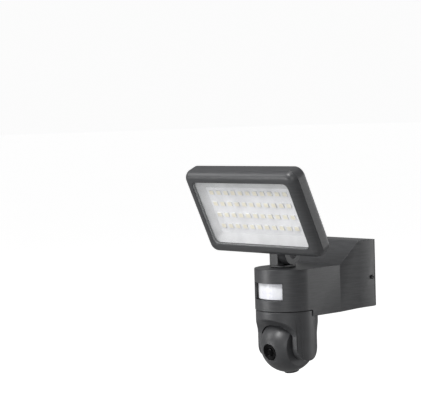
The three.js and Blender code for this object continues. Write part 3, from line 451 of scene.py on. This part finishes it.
def circuit_board(name, colour):
    surface = Surface(name, colour, 0.4)
    surface.shade(surface.noise(420, 2, stretch=(1, 6, 1)), 0.75, 1.3, 0.46, 0.54)
    surface.gloss(surface.noise(700), 0.32, 0.5)
    surface.bump(surface.noise(900), 0.03, 0.4)
    return surface.material


def clear_glass(name):
    surface = Surface(name, (0.93, 0.95, 0.96), 0.04, Alpha=0.1, IOR=1.5)
    surface.bump(surface.noise(18, 1), 0.01, 0.1)
    return surface.material


def lined_coat(name, colour, roughness):
    """Powder coat with a fine grain and faint level lines."""
    surface = Surface(name, colour, roughness)
    lines = surface.noise(55, 4, stretch=(1, 1, 14))
    surface.shade(lines, 0.86, 1.12)
    surface.gloss(lines, roughness - 0.06, roughness + 0.06)
    surface.bump(surface.noise(1500, 3), 0.04, 0.4)
    return surface.material


MATERIALS = {
    "anthracite_coat": lined_coat("anthracite_coat", (0.056, 0.057, 0.06), 0.38),
    "anthracite_plastic": textured("anthracite_plastic", (0.053, 0.054, 0.057), 0.38, 2200, 0.03),
    "black_plastic": textured("black_plastic", (0.012, 0.012, 0.013), 0.45, 1800, 0.03),
    "black_rubber": textured("black_rubber", (0.018, 0.018, 0.018), 0.8, 1200, 0.06),
    "dark_lens": textured("dark_lens", (0.001, 0.001, 0.0015), 0.25, 60, 0.001, Specular_IOR_Level=0.08),
    "clear_glass": clear_glass("clear_glass"),
    "sensor_lens": textured("sensor_lens", (0.9, 0.91, 0.99), 0.3, 500, 0.02, Coat_Weight=0.3),
    "white_reflector": textured("white_reflector", (0.7, 0.7, 0.71), 0.4, 900, 0.01),
    "white_board": textured("white_board", (0.9, 0.9, 0.92), 0.45, 1400, 0.02),
    "green_board": circuit_board("green_board", (0.012, 0.09, 0.04)),
    "steel": brushed("steel", (0.45, 0.46, 0.47), 0.32),
    "zinc_steel": galvanised("zinc_steel", (0.55, 0.56, 0.56), 0.38),
    "heat_aluminium": brushed("heat_aluminium", (0.72, 0.73, 0.74), 0.35),
    "nylon": textured("nylon", (0.74, 0.72, 0.65), 0.5, 800, 0.03),
    "grey_plastic": textured("grey_plastic", (0.5, 0.52, 0.52), 0.5, 1200, 0.03),
}
PHOSPHOR = textured("phosphor", (0.95, 0.88, 0.7), 0.5, 2500, 0.03)
DARK_SCREW = textured("dark_screw", (0.03, 0.03, 0.032), 0.4, 1500, 0.02, metallic=0.6)

# ---------------------------------------------------------------- wall housing


def housing_solid(inset, front_shift, back):
    """The housing's outer form, or its hollow when inset by the wall."""
    half_width, radius = BOX_HALF_WIDTH - inset, BODY_RADIUS - inset
    tall, low, top = BOX_HALF_HEIGHT - inset, ARM_BOTTOM + inset, ARM_TOP - inset
    solid = bmesh.new()

    def ring(half, bottom, up, y):
        corners = ((half, bottom), (half, up), (-half, up), (-half, bottom))
        return [solid.verts.new((x, y, z)) for x, z in corners]

    rings = [
        ring(half_width, -tall, tall, back),
        ring(half_width, -tall, tall, BOX_FRONT + front_shift),
        ring(radius, low, top, ARM_START + front_shift),
    ]
    solid.faces.new(rings[0])
    for first, second in zip(rings, rings[1:]):
        bridge(solid, first, second)
    nose = circle(radius, (0, AXIS_Y), FINE, 0, -math.pi)
    upper = [solid.verts.new((x, y, top)) for x, y in nose]
    lower = [solid.verts.new((x, y, low)) for x, y in nose]
    right_low, right_top, left_top, left_low = rings[2]
    solid.faces.new([right_top, *upper, left_top])
    solid.faces.new([right_low, *lower, left_low])
    for i in range(FINE):
        solid.faces.new([lower[i], lower[i + 1], upper[i + 1], upper[i]])
    solid.faces.new([right_low, lower[0], upper[0], right_top])
    solid.faces.new([left_low, lower[-1], upper[-1], left_top])
    return made(solid)


def sector(inner, outer, half_angle, height, steps=40):
    """A curved plate round the body's axis, facing out from the wall."""
    start = -math.pi / 2 - half_angle
    front = circle(outer, (0, AXIS_Y), steps, start, 2 * half_angle)
    rear = circle(inner, (0, AXIS_Y), steps, start, 2 * half_angle)
    return prism("z", front + rear[::-1], height)


def housing_cover():
    hollow = cut(
        housing_solid(WALL, 0.8, 5),
        bar("z", SWEEP_RADIUS + WALL, (-60, SEAM_Z + WALL), (0, AXIS_Y)),
        bar("z", 14, (8, 30), (0, AXIS_Y)),
    )
    window = (LENS_LOW.z - 0.3, LENS_HIGH.z + 0.3)
    screw = span("side_screw_right")
    screw_centre = ((screw[0].y + screw[1].y) / 2, (screw[0].z + screw[1].z) / 2)
    shell = cut(
        housing_solid(0, 0, BOX_BACK),
        hollow,
        bar("z", SWEEP_RADIUS, (-60, SEAM_Z), (0, AXIS_Y), 160),
        bar("z", 31, (-40, -30), (0, AXIS_Y)),
        bar("z", 6.3, (5, 20), (0, AXIS_Y)),
        bar("z", 12.5, (ARM_TOP - 1.2, 20), (0, AXIS_Y)),
        sector(30, 45, math.radians(38), window),
        bar("x", 2, (-60, 60), screw_centre, 32),
    )
    speaker = span("speaker")
    middle = (speaker[0] + speaker[1]) / 2
    for row in (-4, 0, 4):
        for column in (-4, 0, 4):
            cut(shell, bar("z", 1, (-50, -35), (column, middle.y + row), 20))
    finish(shell, "housing_cover", "housing", "anthracite_coat", stands_for=["housing_shell"], edge=0.6)
    crease(shell, 8, 30)


def sensor_window():
    """The curved sensor lens, with shallow grooves between its facets."""
    rows, columns, groove, lift = 3, 9, 0.12, 0.06
    across, up = 108, 30
    low, high = LENS_LOW.z, LENS_HIGH.z

    def depth(i, j):
        on_column = i % (across // columns) == 0 and 0 < i < across
        on_row = j % (up // rows) == 0 and 0 < j < up
        if on_column or on_row:
            return groove
        wave = math.sin(math.pi * (i * columns / across % 1)) * math.sin(math.pi * (j * rows / up % 1))
        return lift * (1 - wave)

    def skin(radius, shaped):
        grid = []
        for i in range(across + 1):
            angle = -math.pi / 2 - PIR_HALF_ANGLE + 2 * PIR_HALF_ANGLE * i / across
            line = []
            for j in range(up + 1):
                r = radius - (depth(i, j) if shaped else 0)
                z = low + (high - low) * j / up
                line.append((r * math.cos(angle), AXIS_Y + r * math.sin(angle), z))
            grid.append(line)
        return grid

    front, rear = skin(PIR_RADIUS, True), skin(PIR_RADIUS - 1.3, False)
    piece = loft([a + b[::-1] for a, b in zip(front, rear)])
    finish(piece, "sensor_window", "housing", "sensor_lens", stands_for=["pir_lens"], edge=0)


# ---------------------------------------------------------------- camera fork and ball


def brow_outline():
    """Side outline of a cheek, from the brow down to the rounded end."""
    start = Vector((FORK_RADIUS + 0.6, FORK_CEILING + 0.6))
    bend = Vector((18.5, -52.0))
    end = Vector((CHEEK_HALF_WIDTH, -65.0))
    curve = []
    for i in range(33):
        t = i / 32
        p = start * (1 - t) ** 2 + bend * 2 * t * (1 - t) + end * t * t
        curve.append((p.x, p.y))
    for i in range(25):
        angle = i / 24 * math.pi / 2
        curve.append((CHEEK_HALF_WIDTH * math.cos(angle), BALL_Z - CHEEK_END * math.sin(angle)))
    return curve


def fork_casing():
    neck_top = FORK_HIGH.z
    profile = [
        (NECK_BORE, neck_top), (15, neck_top), (15, neck_top - 2.9), (NECK_RADIUS, neck_top - 2.9),
        (NECK_RADIUS, FORK_TOP), (FORK_RADIUS, FORK_TOP), (FORK_RADIUS, -97), (NECK_BORE, -97),
    ]
    casing = turned("z", profile, (0, AXIS_Y), 160, closed=True)
    room = common(
        turned("z", [(0, -45), (ROOM_RADIUS, -45), *arc(ROOM_RADIUS, (0, 0), 0, 88, 28), (0, ROOM_RADIUS)]),
        block((-CHEEK_X, CHEEK_X), (-50, 50), (-50, 50)),
    )
    room.data.transform(Matrix.Translation((0, AXIS_Y, BALL_Z)))
    cut(casing, room)
    inner = brow_outline()
    for side in (-1, 1):
        outline = [*inner, (-2, inner[-1][1] - 0.01), (-2, -110), (60, -110), (60, inner[0][1])]
        cut(casing, prism("x", [(AXIS_Y + side * u, z) for u, z in outline], (-60, 60)))
    for x in ((-31, -CHEEK_X + 1), (CHEEK_X - 1, 31)):
        foot = circle(12, (AXIS_Y, BALL_Z), 32, math.pi, math.pi)
        cut(casing, prism("x", [*foot, (AXIS_Y + 12, -54), (AXIS_Y - 12, -54)], x))
    finish(casing, "fork_casing", "fork", "anthracite_plastic", stands_for=["camera_fork"], edge=0.8)


def flattened_ball(radius, flat):
    """A sphere between two flats, turned about x."""
    rim = math.acos(flat / radius)
    profile = [(0, -flat)]
    for i in range(65):
        angle = math.pi - rim - (math.pi - 2 * rim) * i / 64
        profile.append((radius * math.sin(angle), radius * math.cos(angle)))
    profile.append((0, flat))
    return turned("x", profile, steps=128)


def ball_shells():
    for name, node, slab in (
        ("ball_face", "ball_front", (BALL_SPLIT, 60)),
        ("ball_back", "ball_rear", (-60, BALL_SPLIT + 0.3)),
    ):
        shell = cut(
            flattened_ball(BALL_RADIUS, BALL_FLAT_X),
            flattened_ball(BALL_RADIUS - BALL_WALL, BALL_FLAT_X - BALL_WALL),
            block((-60, 60), slab, (-60, 60)),
        )
        if node == "ball_front":
            cut(
                shell,
                bar("y", LENS_RADIUS + 0.3, (-50, -20)),
                bar("x", TRUNNION_HOLE, (-50, 50), steps=48),
                bar("z", COVER_RADIUS + 0.3, (-50, -20)),
            )
        finish(shell, name, "ball", "anthracite_plastic", BALL_PLACE, [node], edge=0.45)


def camera_eye():
    """A stepped dark surround with a domed lens element in it."""
    face = -math.sqrt(BALL_RADIUS**2 - LENS_RADIUS**2)
    steps = [(LENS_RADIUS, face + 1.6), (LENS_RADIUS, face + 0.2), (LENS_RADIUS - 0.3, face)]
    radius, depth = 8.6, 0.25
    while radius > 5.2:
        steps += [(radius, face + depth - 0.15), (radius - 0.15, face + depth)]
        radius, depth = radius - 1.1, depth + 0.25
    steps += [(4.6, face + depth), (4.6, face + 1.6)]
    finish(turned("y", steps, closed=True), "lens_surround", "ball", "dark_lens", BALL_PLACE,
           ["lens_window"], edge=0)
    dome = [(0, face + 0.2)]
    dome += [(4.4 * math.sin(a * math.pi / 40), face + 1.3 - 1.1 * math.cos(a * math.pi / 40)) for a in range(1, 21)]
    dome += [(4.4, face + 1.6), (0, face + 1.6)]
    finish(turned("y", dome), "lens_element", "ball", "dark_lens", BALL_PLACE, edge=0)


def bottom_cover():
    """Round cover under the ball, with its coin slot."""
    pole = -BALL_RADIUS
    profile = [
        (0, pole - 0.9), (COVER_RADIUS - 1.2, pole - 0.9), (COVER_RADIUS - 0.3, pole - 0.6),
        (COVER_RADIUS, pole), (COVER_RADIUS, pole + 2.4), (COVER_RADIUS - 1, pole + 2.4),
        (COVER_RADIUS - 1, pole + 1.4), (0, pole + 1.4),
    ]
    disc = turned("z", profile)
    cut(disc, block((-5, 5), (-0.8, 0.8), (pole - 5, pole + 0.2)))
    finish(disc, "bottom_cover", "service_cover", "anthracite_plastic", BALL_PLACE,
           ["service_cover"], edge=0.25)


# ---------------------------------------------------------------- lamp bracket


def lamp_stand():
    left, right = BRACKET_LOW.x, BRACKET_HIGH.x
    half, corner, bottom = 12.7, 5.0, BRACKET_LOW.z
    footprint = [
        (left, AXIS_Y - half),
        *arc(corner, (right - corner, AXIS_Y - half + corner), -90, 0, 12),
        *arc(corner, (right - corner, AXIS_Y + half - corner), 0, 90, 12),
        (left, AXIS_Y + half),
    ]
    post_right = -0.3
    knuckle = circle(KNUCKLE_RADIUS, (AXIS_Y, PIVOT_Z), 48, 0, math.pi)
    side = [(AXIS_Y + KNUCKLE_RADIUS, bottom + 1), *knuckle, (AXIS_Y - KNUCKLE_RADIUS, bottom + 1)]
    stand = join(
        prism("z", footprint, (bottom, bottom + 2.5)),
        prism("x", side, (left + 0.1, post_right)),
    )
    cut(
        stand,
        bar("x", 3.3, (-30, 30), (AXIS_Y, PIVOT_Z), 40),
        bar("x", 6.3, (-30, left + 4.6), (AXIS_Y, PIVOT_Z), 48),
        bar("x", 8.3, (post_right - 1, 30), (AXIS_Y, PIVOT_Z), 48),
        bar("z", 6.3, (10, bottom + 2.6), (0, AXIS_Y), 48),
    )
    finish(stand, "lamp_stand", "bracket", "anthracite_coat", stands_for=["lamp_bracket"], edge=0.5)


# ---------------------------------------------------------------- lamp head


def lamp_loop(inset, y, corner=None):
    """The lamp's outline pulled in by inset."""
    if corner is None:
        corner = max(LAMP_CORNER - inset, 2.5)
    return rounded_loop(LAMP_HALF_WIDTH - inset, LAMP_HALF_HEIGHT - inset, corner, y)


def window_loop(inset, y):
    """The window's outline, pushed out by inset towards the lamp's edge."""
    return rounded_loop(WINDOW_HALF_WIDTH + inset, WINDOW_HALF_HEIGHT + inset, WINDOW_CORNER + inset / 2, y)


def bezel():
    """The front frame: one soft arc from its side to its face, and a step into the window."""
    turn = math.acos(1 - BEZEL_BACK / BEZEL_ROUND)
    radius = BEZEL_ROUND - 0.16
    loops = [lamp_loop(0.05, BEZEL_BACK)]
    for step in range(16):
        angle = turn * (1 - step / 15)
        inset = BEZEL_ROUND * math.sin(turn) - radius * math.sin(angle)
        loops.append(lamp_loop(inset, BEZEL_ROUND - radius * math.cos(angle)))
    loops += [window_loop(out, y) for out, y in (
        (0.8, 0.16), (0.35, 0.25), (0.1, 0.5), (0, 0.9), (0, GLASS_BACK), (3.2, GLASS_BACK),
        (3.2, BEZEL_BACK))]
    frame_ring = loft(loops, closed=True)
    for x in (-SCREW_X, SCREW_X):
        for z in (-SCREW_Z, SCREW_Z):
            cut(frame_ring, bar("y", 1.8, (4, 20), (x, z), 24))
    finish(frame_ring, "bezel_frame", "lamp", "anthracite_coat", LAMP_PLACE, ["lamp_bezel"], edge=0)


def lamp_lug():
    points = []
    for x in LUG_X:
        for u, v in circle(KNUCKLE_RADIUS, (PIVOT_IN_LAMP.y, PIVOT_IN_LAMP.z), 72):
            points.append((x, u, v))
        points += [(x, LAMP_BACK - 2.2, -42), (x, LAMP_BACK - 2.2, -12), (x, LAMP_BACK + 1, -12)]
    centre = (PIVOT_IN_LAMP.y, PIVOT_IN_LAMP.z)
    return cut(
        hull(points),
        bar("x", 3.3, (-30, 30), centre, 40),
        bar("x", 5.9, (LUG_X[1] - 5.3, 30), centre, 6),
    )


def lamp_back():
    """The rear housing: rounded back edge, cooling fins and the lug it tilts on."""
    edge, skin, rim = LAMP_BACK_ROUND, 3.0, BEZEL_BACK + 0.3
    inner, radius = LAMP_BACK - 2.8, LAMP_BACK_ROUND - 0.16
    loops = [lamp_loop(skin, inner), lamp_loop(skin, rim), lamp_loop(0.05, rim)]
    for step in range(9):
        angle = step / 8 * math.pi / 2
        inset = edge - radius * math.cos(angle)
        loops.append(lamp_loop(inset, LAMP_BACK - edge + radius * math.sin(angle)))
    housing = loft(loops)
    join(housing, lamp_lug())
    for number in range(11):
        x = -60 + 12 * number
        if abs(x - 6) >= 13:
            join(housing, block((x - 1.2, x + 1.2), (LAMP_BACK - 1, FIN_BACK), (-36, 36)))
    for x in (-SCREW_X, SCREW_X):
        for z in (-SCREW_Z, SCREW_Z):
            join(housing, bar("y", 4.4, (rim, LAMP_BACK - 2.4), (x, z), 32))
            cut(housing, bar("y", 1.8, (0, 40), (x, z), 24), bar("y", 3.3, (SCREW_SEAT, 40), (x, z), 32))
    finish(housing, "lamp_back", "lamp", "anthracite_coat", LAMP_PLACE, ["lamp_housing"], edge=0.4)


def window_parts():
    half_width, half_height = WINDOW_HALF_WIDTH + GLASS_LIP, WINDOW_HALF_HEIGHT + GLASS_LIP

    def outer(y, shrink=0.0):
        return rounded_loop(half_width - shrink, half_height - shrink, GLASS_CORNER - shrink, y)

    pane = loft([window_loop(out, y) for out, y in (
        (-0.4, GLASS_FRONT + 0.2), (-0.15, GLASS_FRONT + 0.4), (-0.15, GLASS_BACK - 0.2),
        (-0.4, GLASS_BACK))])
    finish(pane, "glass_pane", "lamp", "clear_glass", LAMP_PLACE, ["front_glass"], edge=0)
    seal = loft([window_loop(out, y) for out, y in ((0.2, 3.2), (0.2, 5.5), (2.8, 5.5), (2.8, 3.2))],
                closed=True)
    finish(seal, "glass_seal", "lamp", "black_rubber", LAMP_PLACE, ["glass_gasket"], edge=0)

    mouth, lean, floor = 5.6, 10.8, LED_FLOOR - 0.04
    tray = loft([
        outer(floor),
        outer(mouth),
        window_loop(0.2, mouth),
        window_loop(-0.5, mouth + 0.3),
        window_loop(-lean, floor),
    ], closed=True)
    finish(tray, "reflector", "lamp", "white_reflector", LAMP_PLACE, ["reflector_tray"], edge=0)
    crease(tray, 22, 180)


def led_places():
    for row in range(LED_ROWS):
        for column in range(LED_COLUMNS):
            x = (column - (LED_COLUMNS - 1) / 2) * LED_PITCH_X
            yield x, LED_CENTRE_Z + (row - (LED_ROWS - 1) / 2) * LED_PITCH_Z


def many(loops_at, places):
    """One mesh of the same small lofted solid at many places."""
    solid = bmesh.new()
    for x, z in places:
        rings = []
        for loop in loops_at:
            rings.append([solid.verts.new((x + p[0], p[1], z + p[2])) for p in loop])
        for first, second in zip(rings, rings[1:]):
            bridge(solid, first, second)
        for ring in (rings[0], rings[-1]):
            solid.faces.new(ring)
    return made(solid)


def led_light():
    board = loft([rounded_loop(73 - s, 35 - s, 3 - s, y) for s, y in (
        (0.2, LED_FLOOR), (0, LED_FLOOR + 0.2), (0, LED_FLOOR + 1.4), (0.2, LED_FLOOR + 1.6))])
    finish(board, "emitter_board", "lamp", "white_board", LAMP_PLACE, ["led_board"], edge=0)
    top = LED_FLOOR - 0.9
    package = [rounded_loop(3.8 - s, 3.0 - s, 0.6, y, 3) for s, y in (
        (0, LED_FLOOR), (0, top + 0.25), (0.15, top), (0.3, top), (0.4, top + 0.2))]
    finish(many(package, led_places()), "emitter_packages", "lamp", "white_board", LAMP_PLACE, edge=0)
    pad = [rounded_loop(3.3 - s, 2.5 - s, 0.5, y, 3) for s, y in (
        (0, top + 0.3), (0.05, top + 0.12), (0.3, top + 0.06))]
    finish(many(pad, led_places()), "emitter_phosphor", "lamp", "white_board", LAMP_PLACE, edge=0,
           look=PHOSPHOR)


# ---------------------------------------------------------------- fasteners


def head_screw(name, body, place, radius, height, length, shank, node):
    """A low round-head screw along z with a hexagon socket."""
    profile = [(0, height), (radius * 0.7, height), *arc(radius * 0.3, (radius * 0.7, height * 0.55), 80, 0),
               (radius, 0), (shank, 0), (shank, -length), (0, -length)]
    screw = turned("z", profile, steps=48)
    cut(screw, bar("z", radius * 0.42, (height * 0.35, height + 5), steps=6))
    finish(screw, name, body, "steel", place, [node], edge=0.1, segments=2, look=DARK_SCREW)


def screws():
    for side, name in ((-1, "left"), (1, "right")):
        node = "side_screw_" + name
        low, high = span(node)
        face = high.x if side > 0 else low.x
        middle = (low + high) / 2
        turn = Matrix.Rotation(side * math.pi / 2, 4, "Y")
        place = Matrix.Translation((face - side * 1.7, middle.y, middle.z)) @ turn
        head_screw("fixing_screw_" + name, "housing", place, 2.5, 1.7, 5.5, 1.7, node)
    number = 0
    for x in (-SCREW_X, SCREW_X):
        for z in (-SCREW_Z, SCREW_Z):
            number += 1
            place = LAMP_PLACE @ Matrix.Translation((x, SCREW_SEAT + 0.3, z)) @ Matrix.Rotation(-math.pi / 2, 4, "X")
            head_screw(f"frame_screw_{number}", "lamp", place, 3.0, 1.9, 15, 1.5, f"bezel_screw_{number}")


# ---------------------------------------------------------------- pieces kept from the CAD


DARK_NODES = ("tilt_nut", "tilt_bolt", "tilt_washer")


def keep_cad_nodes():
    """Every CAD node still shown gets its material and a small edge radius."""
    slots = {s["node"]: s["material_slot"] for s in frame["record"]["subparts"]}
    for name, node in frame["nodes"].items():
        if node.hide_render:
            continue
        node.data.materials.clear()
        node.data.materials.append(DARK_SCREW if name in DARK_NODES else MATERIALS[slots[name]])
        for face in node.data.polygons:
            face.use_smooth = True
        weld = node.modifiers.new("weld", "WELD")
        weld.merge_threshold = 1e-6
        round_edges(node, 0.12, segments=2, angle=35)


# ---------------------------------------------------------------- floor, light and camera

FLOOR_DROP = 0.07
FLOOR_SIZE = 80.0
FLOOR_WHITE = 0.4
BACKDROP = 0.97         # what the camera sees behind the object
AMBIENT = 0.3           # what lights the object from all sides


def seen_by_camera(nodes, links, gain, base=0.0):
    """A strength that has gain added to it for the camera alone."""
    sum_node = nodes.new("ShaderNodeMath")
    sum_node.operation = "MULTIPLY_ADD"
    sum_node.inputs[1].default_value = gain
    sum_node.inputs[2].default_value = base
    links.new(nodes.new("ShaderNodeLightPath").outputs["Is Camera Ray"], sum_node.inputs[0])
    return sum_node.outputs["Value"]


def floor():
    solid = bmesh.new()
    half = FLOOR_SIZE / 2
    z = cad_box[0].z - FLOOR_DROP
    solid.faces.new([solid.verts.new((x, y, z)) for x, y in ((-half, -half), (half, -half), (half, half), (-half, half))])
    plane = made(solid, "floor")
    paint = Surface("floor", (FLOOR_WHITE,) * 3, 0.8)
    paint.shade(paint.noise(2), 0.99, 1.01)
    paint.shader.inputs["Emission Color"].default_value = (1, 1, 1, 1)
    glow = seen_by_camera(paint.nodes, paint.links, BACKDROP - FLOOR_WHITE * AMBIENT)
    paint.links.new(glow, paint.shader.inputs["Emission Strength"])
    plane.data.materials.append(paint.material)


def softbox(name, azimuth, elevation, distance, size, power):
    """A large area light that faces the object."""
    lamp = bpy.data.lights.new(name, "AREA")
    lamp.shape = "RECTANGLE"
    lamp.size, lamp.size_y = size
    lamp.energy = power
    light = bpy.data.objects.new(name, lamp)
    a, e = math.radians(azimuth), math.radians(elevation)
    back = Vector((math.sin(a) * math.cos(e), -math.cos(a) * math.cos(e), math.sin(e)))
    light.location = (cad_box[0] + cad_box[1]) / 2 + back * distance
    light.rotation_mode = "QUATERNION"
    light.rotation_quaternion = (-back).to_track_quat("-Z", "Y")
    bpy.context.scene.collection.objects.link(light)


def studio():
    world = bpy.data.worlds.new("studio")
    world.use_nodes = True
    nodes, links = world.node_tree.nodes, world.node_tree.links
    sky = nodes["Background"]
    sky.inputs["Color"].default_value = (1, 1, 1, 1)
    links.new(seen_by_camera(nodes, links, BACKDROP - AMBIENT, AMBIENT), sky.inputs["Strength"])
    bpy.context.scene.world = world
    softbox("key", -52, 24, 1.5, (0.5, 0.5), 3.6)
    softbox("top", -6, 44, 1.4, (0.35, 0.35), 11)
    softbox("overhead", 10, 78, 1.4, (0.8, 0.6), 4)
    softbox("fill", -32, -2, 1.6, (0.7, 0.2), 5)
    softbox("front", 42, 8, 1.7, (0.8, 0.8), 4)
    softbox("side", 148, 4, 1.6, (0.6, 0.9), 9)


def photo_camera():
    azimuth, elevation, roll = (math.radians(v) for v in (47.772, 3.36, -1.678))
    back = Vector((math.sin(azimuth) * math.cos(elevation), -math.cos(azimuth) * math.cos(elevation),
                   math.sin(elevation)))
    level = Vector((math.cos(azimuth), math.sin(azimuth), 0))
    upright = back.cross(level)
    right = math.cos(roll) * level + math.sin(roll) * upright
    up = -math.sin(roll) * level + math.cos(roll) * upright
    lens = bpy.data.cameras.new("camera")
    lens.sensor_width = 36
    lens.lens = 129.926
    lens.clip_start, lens.clip_end = 0.05, 60
    camera = bpy.data.objects.new("camera", lens)
    turn = Matrix((right, up, back)).transposed().to_4x4()
    camera.matrix_world = Matrix.Translation((1.25917, -1.36772, 0.19108)) @ turn
    bpy.context.scene.collection.objects.link(camera)
    bpy.context.scene.camera = camera


photo_camera()
studio()
floor()
housing_cover()
sensor_window()
fork_casing()
ball_shells()
camera_eye()
bottom_cover()
lamp_stand()
bezel()
lamp_back()
window_parts()
led_light()
screws()
keep_cad_nodes()
bpy.context.scene.view_settings.view_transform = "Standard"
